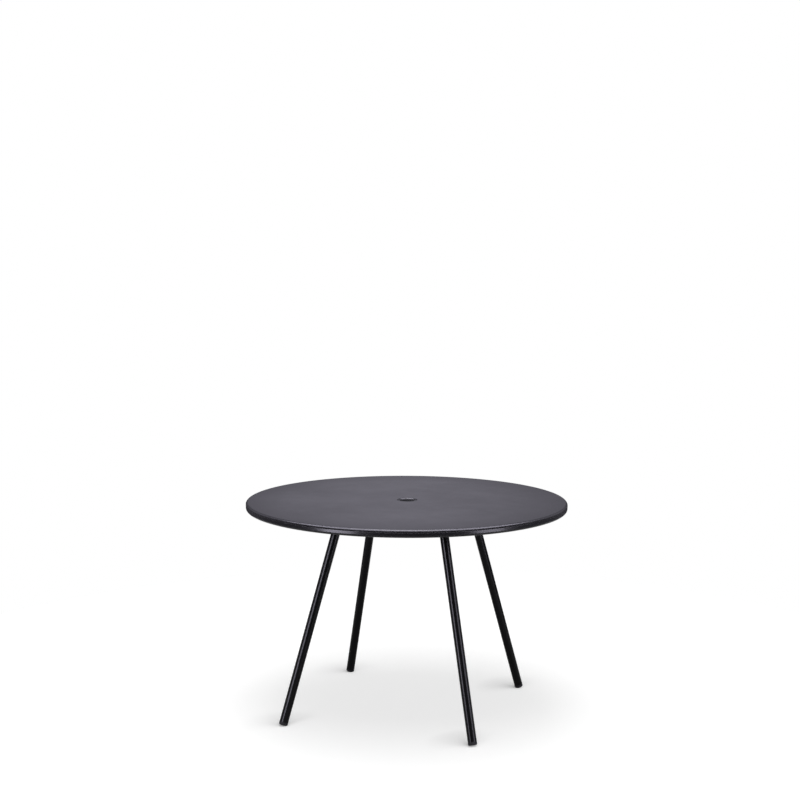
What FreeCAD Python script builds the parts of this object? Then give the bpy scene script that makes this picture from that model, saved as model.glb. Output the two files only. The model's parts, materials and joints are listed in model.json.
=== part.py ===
import FreeCAD, Part
import math
import os
import Sketcher

# A round garden table with a hole for a parasol: a sheet top on a rolled hoop, a welded frame of
# flat tubes under it, four splayed legs that screw to the frame, and a glide screwed into each leg.
# The floor is at Z 0, the table's middle is on the Z axis, and -Y is the front.

# The driving sizes, in millimetres and degrees.
SIZES = (
    ("table_height", 740.0, "floor to the top of the sheet"),
    ("top_radius", 550.0, "middle to the outside of the rim"),
    ("sheet_depth", 3.0, "thickness of the tabletop's sheet"),
    ("sheet_round", 7.5, "outside rounding where the sheet turns down at the rim"),
    ("edge_depth", 9.0, "top of the sheet to the end of its turned-down edge"),
    ("rim_height", 26.0, "top of the sheet to the bottom of the hoop"),
    ("hoop_wall", 4.0, "thickness of the hoop under the sheet's edge"),
    ("hoop_round", 8.0, "outside rounding where the hoop turns in"),
    ("hoop_lip", 13.0, "outside of the rim to the end of the hoop's lip"),
    ("lip_round", 1.2, "rounding at the end of the hoop's lip"),
    ("seam_round", 0.8, "rounding beside the seam between sheet and hoop"),
    ("recess_radius", 33.5, "recess in the sheet for the collar's flange"),
    ("recess_depth", 5.0, "top of the sheet to the recess's floor"),
    ("recess_round", 3.0, "rounding where the sheet turns into the recess"),
    ("pole_radius", 25.0, "bore that the parasol's pole passes through"),
    ("collar_wall", 3.0, "wall of the collar's barrel"),
    ("collar_radius", 33.0, "outside of the collar's flange"),
    ("collar_flange", 3.0, "thickness of the collar's flange"),
    ("collar_outer_round", 0.8, "rounding outside the flange"),
    ("collar_inner_round", 4.0, "rounding into the bore"),
    ("collar_gap", 0.3, "round gap between barrel, sheet and ring nut"),
    ("collar_tail", 10.0, "barrel below the ring nut"),
    ("nut_width", 10.0, "width of the ring nut's ring"),
    ("nut_depth", 8.0, "thickness of the ring nut"),
    ("notch_radius", 5.0, "radius of a finger notch in the ring nut"),
    ("notch_depth", 3.0, "depth of a finger notch"),
    ("rail_width", 40.0, "width of the frame's flat tube"),
    ("rail_depth", 15.0, "height of the frame's flat tube"),
    ("rail_wall", 2.0, "wall of the frame's flat tube"),
    ("rim_gap", 13.0, "gap from the corner of an end cap to the inside of the hoop"),
    ("cap_plate", 2.0, "thickness of an end cap's plate"),
    ("cap_plug", 10.0, "how far an end cap's plug goes in"),
    ("cap_gap", 0.2, "gap round an end cap's plug"),
    ("leg_circle", 248.0, "middle of the table to a leg's axis, at the flange"),
    ("leg_splay", 17.2, "angle of a leg from the vertical"),
    ("tube_radius", 15.0, "outside of a leg's tube"),
    ("tube_wall", 2.0, "wall of a leg's tube"),
    ("weld_size", 4.0, "leg of the weld under the flange"),
    ("weld_toe", 0.4, "thickness of the weld at its lower edge"),
    ("flange_depth", 5.0, "thickness of a leg's flange"),
    ("flange_edge", 12.0, "screw centre to the side of the flange"),
    ("flange_round", 8.0, "corner rounding of the flange"),
    ("screw_circle", 42.0, "leg's axis to a screw's centre"),
    ("screw_radius", 3.0, "radius of a leg screw"),
    ("screw_length", 14.0, "length of a leg screw under its head"),
    ("screw_gap", 0.3, "gap round a screw in the flange"),
    ("head_radius", 5.25, "radius of a screw's head"),
    ("head_depth", 3.0, "height of a screw's head"),
    ("thread_gap", 0.1, "gap that stands for a thread's flanks"),
    ("rivet_radius", 4.5, "outside of a rivet nut"),
    ("rivet_length", 10.0, "length of a rivet nut"),
    ("rivet_gap", 0.1, "gap round a rivet nut"),
    ("stud_radius", 2.5, "radius of a stud welded under the sheet"),
    ("stud_gap", 0.5, "gap round a stud in the frame"),
    ("stud_inset", 95.0, "end of a rail to its outer stud"),
    ("stud_tail", 1.0, "stud that shows under its nut"),
    ("stud_nut_flats", 8.0, "width across the flats of a stud's nut"),
    ("stud_nut_depth", 4.5, "height of a stud's nut"),
    ("insert_lip", 1.5, "thickness of the insert's lip under the tube"),
    ("insert_length", 25.0, "insert inside the tube"),
    ("insert_core", 11.2, "radius of the insert between its ribs"),
    ("insert_rib", 3.0, "thickness of an insert's rib"),
    ("insert_pitch", 7.0, "spacing of the insert's ribs"),
    ("press_gap", 0.2, "gap round the ribs in the tube"),
    ("glide_height", 9.2, "height of the glide's foot"),
    ("glide_round", 3.0, "rounding at the bottom of the glide"),
    ("glide_top_round", 0.5, "rounding at the top of the glide"),
    ("glide_gap", 0.3, "gap between the glide and the insert when screwed in"),
    ("glide_floor", 3.0, "foot left under the stem"),
    ("stem_radius", 4.0, "radius of the glide's stem"),
    ("stem_reach", 30.0, "stem above the foot"),
    ("stem_point", 1.0, "chamfer at the stem's tip"),
    ("stem_gap", 0.3, "gap round the stem in the insert"),
    ("stem_seat_gap", 0.2, "gap round the stem in the foot"),
)
SHEET = "Sizes"
NOTCHES = 8
INSERT_RIBS = 3
QUARTERS = 4

# A cut that goes right through is this many times as deep as what it cuts.
THROUGH = 3
# Two lengths closer than this, in millimetres, count as the same.
SAME = 0.01
# An edge counts as upright when its direction rises by at least this much of its length.
UPRIGHT = 0.99

# The corners of the table, by the direction of each leg.
CORNERS = (
    ("back_right", 45.0),
    ("back_left", 135.0),
    ("front_left", 225.0),
    ("front_right", 315.0),
)

# How a sketch counts its own origin, its upright axis and the points of a line.
ORIGIN, UP_AXIS = range(-1, -3, -1)
START, END, CENTRE = range(1, 4)


class Size:
    """A number, and the expression that gives it from the sheet."""

    def __init__(self, value, text):
        self.value = value
        self.text = text

    def __add__(self, other):
        other = as_size(other)
        return Size(self.value + other.value, f"({self.text} + {other.text})")

    def __sub__(self, other):
        other = as_size(other)
        return Size(self.value - other.value, f"({self.text} - {other.text})")

    def __mul__(self, other):
        other = as_size(other)
        return Size(self.value * other.value, f"({self.text} * {other.text})")

    def __truediv__(self, other):
        other = as_size(other)
        return Size(self.value / other.value, f"({self.text} / {other.text})")

    def __neg__(self):
        return Size(-self.value, f"(-1 * {self.text})")


def as_size(number):
    return number if isinstance(number, Size) else Size(float(number), f"{number:g}")


def root(size):
    return Size(math.sqrt(size.value), f"sqrt({size.text})")


def sine(angle):
    return Size(math.sin(math.radians(angle.value)), f"sin({angle.text})")


def cosine(angle):
    return Size(math.cos(math.radians(angle.value)), f"cos({angle.text})")


def tangent(angle):
    return Size(math.tan(math.radians(angle.value)), f"tan({angle.text})")


class Sizes:
    """The driving sizes by name, and what follows from them in more than one piece."""

    def __init__(self):
        for alias, value, _ in SIZES:
            setattr(self, alias, Size(value, f"{SHEET}.{alias}"))
        # Heights, from the top down.
        self.underside = self.table_height - self.sheet_depth
        self.rail_bottom = self.underside - self.rail_depth
        self.leg_top = self.rail_bottom - self.flange_depth
        # The frame: a rail's centre line, and where the rails end.
        self.rail_line = self.leg_circle / root(as_size(2))
        inside = self.top_radius - self.hoop_wall - self.rim_gap
        side = self.rail_line + self.rail_width / 2
        self.rail_end = root(inside * inside - side * side) - self.cap_plate
        self.outer_stud = self.rail_end - self.stud_inset
        # The seam between the sheet's edge and the hoop.
        self.seam = self.table_height - self.edge_depth
        # The recess in the sheet, the collar's barrel and the hole for it.
        self.recess_floor = self.table_height - self.recess_depth
        self.recess_under = self.recess_floor - self.sheet_depth
        self.barrel_radius = self.pole_radius + self.collar_wall
        self.hole_radius = self.barrel_radius + self.collar_gap
        # A leg: the middle of its glide's lower face, as the glide's lowest point is on the floor.
        flat = self.tube_radius - self.glide_round
        lift = self.glide_round * (as_size(1) - cosine(self.leg_splay))
        self.foot_height = flat * sine(self.leg_splay) + lift
        rise = self.leg_top - self.foot_height
        self.foot_circle = self.leg_circle + rise * tangent(self.leg_splay)
        self.leg_length = rise / cosine(self.leg_splay)
        # Along the leg, from the glide's lower face.
        self.lip_start = self.glide_height + self.glide_gap
        self.tube_start = self.lip_start + self.insert_lip


def write_sheet(doc):
    """The spreadsheet that holds the driving sizes."""
    sheet = doc.addObject("Spreadsheet::Sheet", SHEET)
    for row, (alias, value, meaning) in enumerate(SIZES, start=1):
        sheet.set(f"A{row}", alias)
        sheet.set(f"B{row}", f"{value:g}")
        sheet.set(f"C{row}", meaning)
        sheet.setAlias(f"B{row}", alias)
    doc.recompute()


def bind(item, path, size):
    """Tie a property of an object to its expression."""
    item.setExpression(path, as_size(size).text)


def point(across, up):
    return FreeCAD.Vector(as_size(across).value, as_size(up).value, 0)


def origin_part(body, role):
    return next(part for part in body.Origin.OriginFeatures if part.Role == role)


def new_body(doc, label):
    body = doc.addObject("PartDesign::Body", label)
    body.Label = label
    return body


def place(body, turn=0.0, shift_x=0.0, shift_y=0.0, shift_z=0.0):
    """Turn a piece about Z, and shift it."""
    turned = FreeCAD.Rotation(FreeCAD.Vector(0, 0, 1), as_size(turn).value)
    body.Placement = FreeCAD.Placement(FreeCAD.Vector(), turned)
    bind(body, "Placement.Base.x", shift_x)
    bind(body, "Placement.Base.y", shift_y)
    bind(body, "Placement.Base.z", shift_z)


def new_sketch(body, role, across=0.0, up=0.0, out=0.0, turn=0.0):
    """A sketch on a plane of the body's origin, shifted and turned within that plane."""
    sketch = body.newObject("Sketcher::SketchObject", f"{body.Name}_sketch")
    sketch.AttachmentSupport = (origin_part(body, role), [""])
    sketch.MapMode = "FlatFace"
    turned = FreeCAD.Rotation(FreeCAD.Vector(0, 0, 1), as_size(turn).value)
    sketch.AttachmentOffset = FreeCAD.Placement(FreeCAD.Vector(), turned)
    bind(sketch, "AttachmentOffset.Base.x", across)
    bind(sketch, "AttachmentOffset.Base.y", up)
    bind(sketch, "AttachmentOffset.Base.z", out)
    if as_size(turn).value:
        bind(sketch, "AttachmentOffset.Rotation.Angle", turn)
    return sketch


def hold(sketch, kind, line, position, size):
    """Hold a point at its distance from the sketch's origin, or on its axis."""
    size = as_size(size)
    if size.text == "0":
        axis = UP_AXIS if kind == "DistanceX" else ORIGIN
        sketch.addConstraint(Sketcher.Constraint("PointOnObject", line, position, axis))
        return
    rule = Sketcher.Constraint(kind, ORIGIN, START, line, position, size.value)
    index = sketch.addConstraint(rule)
    sketch.setExpression(f"Constraints[{index}]", size.text)


def draw_outline(sketch, corners):
    """A closed outline of straight sides through the corners."""
    corners = [(as_size(across), as_size(up)) for across, up in corners]
    first = sketch.GeometryCount
    count = len(corners)
    following = [(index + 1) % count for index in range(count)]
    for index, after in enumerate(following):
        sketch.addGeometry(Part.LineSegment(point(*corners[index]), point(*corners[after])), False)
    upright = [corners[index][0].text == corners[after][0].text for index, after in enumerate(following)]
    level = [corners[index][1].text == corners[after][1].text for index, after in enumerate(following)]
    for index, after in enumerate(following):
        sketch.addConstraint(Sketcher.Constraint("Coincident", first + index, END, first + after, START))
        if upright[index]:
            sketch.addConstraint(Sketcher.Constraint("Vertical", first + index))
        if level[index]:
            sketch.addConstraint(Sketcher.Constraint("Horizontal", first + index))
    # A side that is upright or level needs one distance, and a corner with neither needs its own.
    for index, (across, up) in enumerate(corners):
        if upright[index] or not upright[index - 1]:
            hold(sketch, "DistanceX", first + index, START, across)
        if level[index] or not level[index - 1]:
            hold(sketch, "DistanceY", first + index, START, up)


def draw_rectangle(sketch, left, bottom, right, top):
    draw_outline(sketch, [(left, bottom), (right, bottom), (right, top), (left, top)])


def draw_circle(sketch, across, up, radius):
    circle = Part.Circle(point(across, up), FreeCAD.Vector(0, 0, 1), radius.value)
    line = sketch.addGeometry(circle, False)
    hold(sketch, "DistanceX", line, CENTRE, across)
    hold(sketch, "DistanceY", line, CENTRE, up)
    index = sketch.addConstraint(Sketcher.Constraint("Radius", line, radius.value))
    sketch.setExpression(f"Constraints[{index}]", radius.text)


def draw_hexagon(sketch, across, up, flats):
    """A hexagon with two corners left and right of its middle."""
    corner = flats / root(as_size(3))
    half = flats / 2
    draw_outline(sketch, [
        (across + corner, up),
        (across + corner / 2, up + half),
        (across - corner / 2, up + half),
        (across - corner, up),
        (across - corner / 2, up - half),
        (across + corner / 2, up - half),
    ])


def spin(body, sketch):
    """Add the sketch turned once round its own upright axis."""
    feature = body.newObject("PartDesign::Revolution", f"{body.Name}_spin")
    feature.Profile = sketch
    feature.ReferenceAxis = (sketch, ["V_Axis"])
    feature.Angle = 360
    return feature


def extrude(body, sketch, length, backwards=False):
    """Add the sketch pulled out square to its plane."""
    feature = body.newObject("PartDesign::Pad", f"{body.Name}_pad")
    feature.Profile = sketch
    feature.Reversed = backwards
    bind(feature, "Length", length)
    return feature


def check_cut(body, feature, before):
    """A cut that points away from its solid shows no error, so its volume is compared."""
    feature.Document.recompute()
    if feature.Shape.Volume >= before:
        raise RuntimeError(f"{body.Label}: {feature.Name} cuts nothing")
    return feature


def cut_spin(body, sketch):
    """Cut away the sketch turned once round its own upright axis."""
    body.Document.recompute()
    before = body.Tip.Shape.Volume
    feature = body.newObject("PartDesign::Groove", f"{body.Name}_groove")
    feature.Profile = sketch
    feature.ReferenceAxis = (sketch, ["V_Axis"])
    feature.Angle = 360
    return check_cut(body, feature, before)


def cut_through(body, sketch, length):
    """Cut away the sketch, half of the length to each side of its plane."""
    body.Document.recompute()
    before = body.Tip.Shape.Volume
    feature = body.newObject("PartDesign::Pocket", f"{body.Name}_pocket")
    feature.Profile = sketch
    feature.SideType = "Symmetric"
    bind(feature, "Length", length)
    return check_cut(body, feature, before)


def repeat_round(body, features, count):
    """Repeat features round the body's Z axis."""
    feature = body.newObject("PartDesign::PolarPattern", f"{body.Name}_round")
    feature.Originals = features
    feature.Axis = (origin_part(body, "Z_Axis"), [""])
    feature.Angle = 360
    feature.Occurrences = count
    body.Tip = feature
    return feature


def ring_edges(feature, radius, centre):
    """The names of the full circles with this radius and centre."""
    feature.Document.recompute()
    names = []
    for number, edge in enumerate(feature.Shape.Edges, start=1):
        curve = edge.Curve
        if not isinstance(curve, Part.Circle):
            continue
        if abs(curve.Radius - radius.value) < SAME and curve.Center.distanceToPoint(centre) < SAME:
            names.append(f"Edge{number}")
    if not names:
        raise RuntimeError(f"{feature.Name}: no edge of radius {radius.value}")
    return names


def round_edges(body, feature, names, radius):
    rounded = body.newObject("PartDesign::Fillet", f"{body.Name}_fillet")
    rounded.Base = (feature, names)
    bind(rounded, "Radius", radius)
    return rounded


def round_ring(body, feature, radius, height, rounding):
    """Round the circle that lies level round the Z axis at a height."""
    names = ring_edges(feature, radius, FreeCAD.Vector(0, 0, height.value))
    return round_edges(body, feature, names, rounding)


def make_top_sheet(doc, sizes):
    """The pressed sheet: turned down at the rim, with a recess round the hole for the collar's flange."""
    body = new_body(doc, "top_sheet")
    recess_outside = sizes.recess_radius + sizes.sheet_depth
    edge_inside = sizes.top_radius - sizes.sheet_depth
    sketch = new_sketch(body, "XZ_Plane")
    draw_outline(sketch, [
        (sizes.hole_radius, sizes.recess_under),
        (recess_outside, sizes.recess_under),
        (recess_outside, sizes.underside),
        (edge_inside, sizes.underside),
        (edge_inside, sizes.seam),
        (sizes.top_radius, sizes.seam),
        (sizes.top_radius, sizes.table_height),
        (sizes.recess_radius, sizes.table_height),
        (sizes.recess_radius, sizes.recess_floor),
        (sizes.hole_radius, sizes.recess_floor),
    ])
    shape = spin(body, sketch)
    for radius, height, rounding in (
        (sizes.top_radius, sizes.table_height, sizes.sheet_round),
        (edge_inside, sizes.underside, sizes.sheet_round - sizes.sheet_depth),
        (sizes.top_radius, sizes.seam, sizes.seam_round),
        (sizes.recess_radius, sizes.table_height, sizes.recess_round),
        (recess_outside, sizes.recess_under, sizes.recess_round),
    ):
        shape = round_ring(body, shape, radius, height, rounding)
    place(body)
    return body


def make_rim_hoop(doc, sizes):
    """The rolled angle bar under the sheet's edge, whose lower lip turns in."""
    body = new_body(doc, "rim_hoop")
    bottom = sizes.table_height - sizes.rim_height
    inside = sizes.top_radius - sizes.hoop_wall
    lip_top = bottom + sizes.hoop_wall
    lip_end = sizes.top_radius - sizes.hoop_lip
    sketch = new_sketch(body, "XZ_Plane")
    draw_outline(sketch, [
        (lip_end, bottom),
        (sizes.top_radius, bottom),
        (sizes.top_radius, sizes.seam),
        (inside, sizes.seam),
        (inside, lip_top),
        (lip_end, lip_top),
    ])
    shape = spin(body, sketch)
    for radius, height, rounding in (
        (sizes.top_radius, bottom, sizes.hoop_round),
        (inside, lip_top, sizes.hoop_round - sizes.hoop_wall),
        (sizes.top_radius, sizes.seam, sizes.seam_round),
        (lip_end, bottom, sizes.lip_round),
        (lip_end, lip_top, sizes.lip_round),
    ):
        shape = round_ring(body, shape, radius, height, rounding)
    place(body)
    return body


def make_parasol_collar(doc, sizes):
    """The moulded collar: a flange that lies in the sheet's recess, and a barrel down through the hole."""
    body = new_body(doc, "parasol_collar")
    top = sizes.recess_floor + sizes.collar_flange
    end = sizes.recess_under - sizes.nut_depth - sizes.collar_tail
    sketch = new_sketch(body, "XZ_Plane")
    draw_outline(sketch, [
        (sizes.pole_radius, end),
        (sizes.barrel_radius, end),
        (sizes.barrel_radius, sizes.recess_floor),
        (sizes.collar_radius, sizes.recess_floor),
        (sizes.collar_radius, top),
        (sizes.pole_radius, top),
    ])
    shape = spin(body, sketch)
    shape = round_ring(body, shape, sizes.collar_radius, top, sizes.collar_outer_round)
    round_ring(body, shape, sizes.pole_radius, top, sizes.collar_inner_round)
    place(body)
    return body


def make_collar_nut(doc, sizes):
    """The ring nut that draws the collar down in its recess, with notches for the fingers."""
    body = new_body(doc, "collar_nut")
    outside = sizes.hole_radius + sizes.nut_width
    sketch = new_sketch(body, "XY_Plane", out=sizes.recess_under)
    draw_circle(sketch, 0, 0, outside)
    draw_circle(sketch, 0, 0, sizes.hole_radius)
    extrude(body, sketch, sizes.nut_depth, backwards=True)
    notch = new_sketch(body, "XY_Plane", out=sizes.recess_under)
    draw_circle(notch, outside + sizes.notch_radius - sizes.notch_depth, 0, sizes.notch_radius)
    cut = cut_through(body, notch, sizes.nut_depth * THROUGH)
    repeat_round(body, [cut], NOTCHES)
    place(body)
    return body


def make_rail(doc, sizes, label, start, end, screw_places, stud_places):
    """A length of flat tube along X, with holes for rivet nuts below and for studs right through."""
    body = new_body(doc, label)
    section = new_sketch(body, "YZ_Plane", across=-sizes.rail_width / 2, up=sizes.rail_bottom, out=start)
    wall = sizes.rail_wall
    draw_rectangle(section, 0, 0, sizes.rail_width, sizes.rail_depth)
    draw_rectangle(section, wall, wall, sizes.rail_width - wall, sizes.rail_depth - wall)
    extrude(body, section, end - start)
    screw_holes = new_sketch(body, "XY_Plane", out=sizes.rail_bottom)
    for along in screw_places:
        draw_circle(screw_holes, along, 0, sizes.rivet_radius + sizes.rivet_gap)
    cut_through(body, screw_holes, wall * THROUGH)
    stud_holes = new_sketch(body, "XY_Plane", out=sizes.rail_bottom)
    for along in stud_places:
        draw_circle(stud_holes, along, 0, sizes.stud_radius + sizes.stud_gap)
    cut_through(body, stud_holes, sizes.rail_depth * THROUGH)
    return body


def make_frame(doc, sizes):
    """Two long rails, two cross rails between them and four stub arms, which leave the middle free."""
    line = sizes.rail_line
    near = line - sizes.screw_circle
    far = line + sizes.screw_circle
    inner_face = line - sizes.rail_width / 2
    outer_face = line + sizes.rail_width / 2
    end = sizes.rail_end
    stud = sizes.outer_stud
    pieces = []
    for side, way in (("front", -line), ("back", line)):
        screws = (-far, -near, near, far)
        rail = make_rail(doc, sizes, f"long_rail_{side}", -end, end, screws, (-stud, 0, stud))
        place(rail, shift_y=way)
        pieces.append(rail)
    for side, way in (("left", -line), ("right", line)):
        rail = make_rail(doc, sizes, f"cross_rail_{side}", -inner_face, inner_face, (-near, near), (0,))
        place(rail, turn=90, shift_x=way)
        pieces.append(rail)
    for corner, direction in CORNERS:
        back = "back" in corner
        right = "right" in corner
        rail = make_rail(doc, sizes, f"stub_arm_{corner}", outer_face, end, (far,), (stud,))
        place(rail, turn=90 if back else -90, shift_x=line if right else -line)
        pieces.append(rail)
    return pieces


def make_end_caps(doc, sizes):
    """The plugs in the eight open ends of the frame's tubes."""
    body = new_body(doc, "rail_end_caps")
    inset = sizes.rail_wall + sizes.cap_gap
    plates = new_sketch(body, "YZ_Plane", up=sizes.rail_bottom, out=sizes.rail_end)
    plugs = new_sketch(body, "YZ_Plane", up=sizes.rail_bottom, out=sizes.rail_end)
    for middle in (-sizes.rail_line, sizes.rail_line):
        left = middle - sizes.rail_width / 2
        right = middle + sizes.rail_width / 2
        draw_rectangle(plates, left, 0, right, sizes.rail_depth)
        draw_rectangle(plugs, left + inset, inset, right - inset, sizes.rail_depth - inset)
    plate = extrude(body, plates, sizes.cap_plate)
    plug = extrude(body, plugs, sizes.cap_plug, backwards=True)
    repeat_round(body, [plate, plug], QUARTERS)
    place(body)
    return body


def screw_centres(sizes):
    """The four screws of the leg at the back right corner, which lie on the rails' centre lines."""
    line = sizes.rail_line
    reach = sizes.screw_circle
    return ((line + reach, line), (line, line + reach), (line - reach, line), (line, line - reach))


def stud_centres(sizes):
    """Three studs that give all twelve when they are repeated at each quarter."""
    line = sizes.rail_line
    return ((sizes.outer_stud, line), (line, sizes.outer_stud), (line, 0))


def make_leg_screws(doc, sizes):
    body = new_body(doc, "leg_screws")
    shanks = new_sketch(body, "XY_Plane", out=sizes.leg_top)
    heads = new_sketch(body, "XY_Plane", out=sizes.leg_top)
    for across, up in screw_centres(sizes):
        draw_circle(shanks, across, up, sizes.screw_radius)
        draw_circle(heads, across, up, sizes.head_radius)
    shank = extrude(body, shanks, sizes.screw_length)
    head = extrude(body, heads, sizes.head_depth, backwards=True)
    repeat_round(body, [shank, head], QUARTERS)
    place(body)
    return body


def make_rivet_nuts(doc, sizes):
    body = new_body(doc, "rivet_nuts")
    sketch = new_sketch(body, "XY_Plane", out=sizes.rail_bottom)
    for across, up in screw_centres(sizes):
        draw_circle(sketch, across, up, sizes.rivet_radius)
        draw_circle(sketch, across, up, sizes.screw_radius + sizes.thread_gap)
    nuts = extrude(body, sketch, sizes.rivet_length)
    repeat_round(body, [nuts], QUARTERS)
    place(body)
    return body


def make_top_studs(doc, sizes):
    body = new_body(doc, "top_studs")
    sketch = new_sketch(body, "XY_Plane", out=sizes.underside)
    for across, up in stud_centres(sizes):
        draw_circle(sketch, across, up, sizes.stud_radius)
    length = sizes.rail_depth + sizes.stud_nut_depth + sizes.stud_tail
    studs = extrude(body, sketch, length, backwards=True)
    repeat_round(body, [studs], QUARTERS)
    place(body)
    return body


def make_stud_nuts(doc, sizes):
    body = new_body(doc, "stud_nuts")
    sketch = new_sketch(body, "XY_Plane", out=sizes.rail_bottom)
    for across, up in stud_centres(sizes):
        draw_hexagon(sketch, across, as_size(up), sizes.stud_nut_flats)
        draw_circle(sketch, across, up, sizes.stud_radius + sizes.thread_gap)
    nuts = extrude(body, sketch, sizes.stud_nut_depth, backwards=True)
    repeat_round(body, [nuts], QUARTERS)
    place(body)
    return body


def leg_sketch(body, sizes):
    """A sketch whose upright axis is the leg's own, from the middle of the glide's lower face."""
    return new_sketch(body, "XZ_Plane", across=sizes.foot_circle, up=sizes.foot_height, turn=sizes.leg_splay)


def on_leg(sizes, along):
    """The point on the leg's axis at a distance from the glide's lower face."""
    splay = math.radians(sizes.leg_splay.value)
    across = sizes.foot_circle.value - along * math.sin(splay)
    return FreeCAD.Vector(across, 0, sizes.foot_height.value + along * math.cos(splay))


def make_leg_flange(doc, sizes, corner, direction):
    """The square plate that the leg is welded to, with four holes for its screws."""
    body = new_body(doc, f"leg_flange_{corner}")
    quarter = sizes.screw_circle / root(as_size(2))
    half = quarter + sizes.flange_edge
    plate = new_sketch(body, "XY_Plane")
    draw_rectangle(plate, -half, -half, half, half)
    slab = extrude(body, plate, sizes.flange_depth)
    doc.recompute()
    upright = [f"Edge{number}" for number, edge in enumerate(slab.Shape.Edges, start=1)
               if abs(edge.tangentAt(edge.FirstParameter).z) > UPRIGHT]
    round_edges(body, slab, upright, sizes.flange_round)
    hole = new_sketch(body, "XY_Plane")
    draw_circle(hole, quarter, quarter, sizes.screw_radius + sizes.screw_gap)
    cut = cut_through(body, hole, sizes.flange_depth * THROUGH)
    repeat_round(body, [cut], QUARTERS)
    angle = as_size(direction)
    place(body, direction, sizes.leg_circle * cosine(angle), sizes.leg_circle * sine(angle), sizes.leg_top)
    return body


def make_leg_tube(doc, sizes, corner, direction):
    """The leg's tube, cut level under the flange and square at its foot, with its weld."""
    body = new_body(doc, f"leg_tube_{corner}")
    spare = sizes.tube_radius * 2
    solid = leg_sketch(body, sizes)
    draw_rectangle(solid, 0, sizes.tube_start, sizes.tube_radius, sizes.leg_length + spare)
    spin(body, solid)
    toe = new_sketch(body, "XY_Plane", out=sizes.leg_top - sizes.weld_size)
    toe_middle = sizes.leg_circle + sizes.weld_size * tangent(sizes.leg_splay)
    draw_circle(toe, toe_middle, 0, sizes.tube_radius + sizes.weld_toe)
    seam = new_sketch(body, "XY_Plane", out=sizes.leg_top)
    draw_circle(seam, sizes.leg_circle, 0, sizes.tube_radius + sizes.weld_size)
    weld = body.newObject("PartDesign::AdditiveLoft", f"{body.Name}_weld")
    weld.Profile = toe
    weld.Sections = [seam]
    weld.Ruled = True
    bore = leg_sketch(body, sizes)
    inside = sizes.tube_radius - sizes.tube_wall
    draw_rectangle(bore, 0, 0, inside, sizes.leg_length + spare * 2)
    cut_spin(body, bore)
    above = new_sketch(body, "XZ_Plane", across=sizes.leg_circle, up=sizes.leg_top)
    draw_rectangle(above, -spare * 2, 0, spare * 2, spare * 2)
    cut_through(body, above, spare * 2)
    place(body, direction)
    return body


def make_leg_insert(doc, sizes, corner, direction):
    """The ribbed plug in the tube's foot, which the glide's stem screws into."""
    body = new_body(doc, f"leg_insert_{corner}")
    rib_radius = sizes.tube_radius - sizes.tube_wall - sizes.press_gap
    outline = [(sizes.tube_radius, sizes.lip_start), (sizes.tube_radius, sizes.tube_start)]
    for number in range(INSERT_RIBS):
        rib = sizes.tube_start + sizes.insert_pitch * number if number else sizes.tube_start
        outline.append((rib_radius, rib))
        outline.append((rib_radius, rib + sizes.insert_rib))
        outline.append((sizes.insert_core, rib + sizes.insert_rib))
        if number < INSERT_RIBS - 1:
            outline.append((sizes.insert_core, sizes.tube_start + sizes.insert_pitch * (number + 1)))
    bore = sizes.stem_radius + sizes.stem_gap
    top = sizes.tube_start + sizes.insert_length
    outline += [(sizes.insert_core, top), (bore, top), (bore, sizes.lip_start)]
    sketch = leg_sketch(body, sizes)
    draw_outline(sketch, outline)
    spin(body, sketch)
    place(body, direction)
    return body


def make_glide_foot(doc, sizes, corner, direction):
    """The moulded foot of the glide, as wide as the tube and round at the floor."""
    body = new_body(doc, f"glide_foot_{corner}")
    socket = sizes.stem_radius + sizes.stem_seat_gap
    sketch = leg_sketch(body, sizes)
    draw_outline(sketch, [
        (0, 0),
        (sizes.tube_radius, 0),
        (sizes.tube_radius, sizes.glide_height),
        (socket, sizes.glide_height),
        (socket, sizes.glide_floor),
        (0, sizes.glide_floor),
    ])
    shape = spin(body, sketch)
    lower = ring_edges(shape, sizes.tube_radius, on_leg(sizes, 0))
    shape = round_edges(body, shape, lower, sizes.glide_round)
    upper = ring_edges(shape, sizes.tube_radius, on_leg(sizes, sizes.glide_height.value))
    round_edges(body, shape, upper, sizes.glide_top_round)
    place(body, direction)
    return body


def make_glide_stem(doc, sizes, corner, direction):
    """The threaded stem that stands in the foot and screws into the insert."""
    body = new_body(doc, f"glide_stem_{corner}")
    tip = sizes.glide_height + sizes.stem_reach
    sketch = leg_sketch(body, sizes)
    draw_outline(sketch, [
        (0, sizes.glide_floor),
        (sizes.stem_radius, sizes.glide_floor),
        (sizes.stem_radius, tip - sizes.stem_point),
        (sizes.stem_radius - sizes.stem_point, tip),
        (0, tip),
    ])
    spin(body, sketch)
    place(body, direction)
    return body


def make_legs(doc, sizes):
    """Each leg from the frame down to the floor."""
    pieces = []
    for corner, direction in CORNERS:
        for make in (make_leg_flange, make_leg_tube, make_leg_insert, make_glide_foot, make_glide_stem):
            pieces.append(make(doc, sizes, corner, direction))
    return pieces


def check_model(doc, pieces):
    """Stop if anything failed to build."""
    for item in doc.Objects:
        if "Invalid" in item.State or "Error" in item.State:
            raise RuntimeError(f"{item.Label} failed: {item.State}")
    for piece in pieces:
        if piece.Shape.isNull() or not piece.Shape.isValid():
            raise RuntimeError(f"{piece.Label} has no valid shape")


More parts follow.
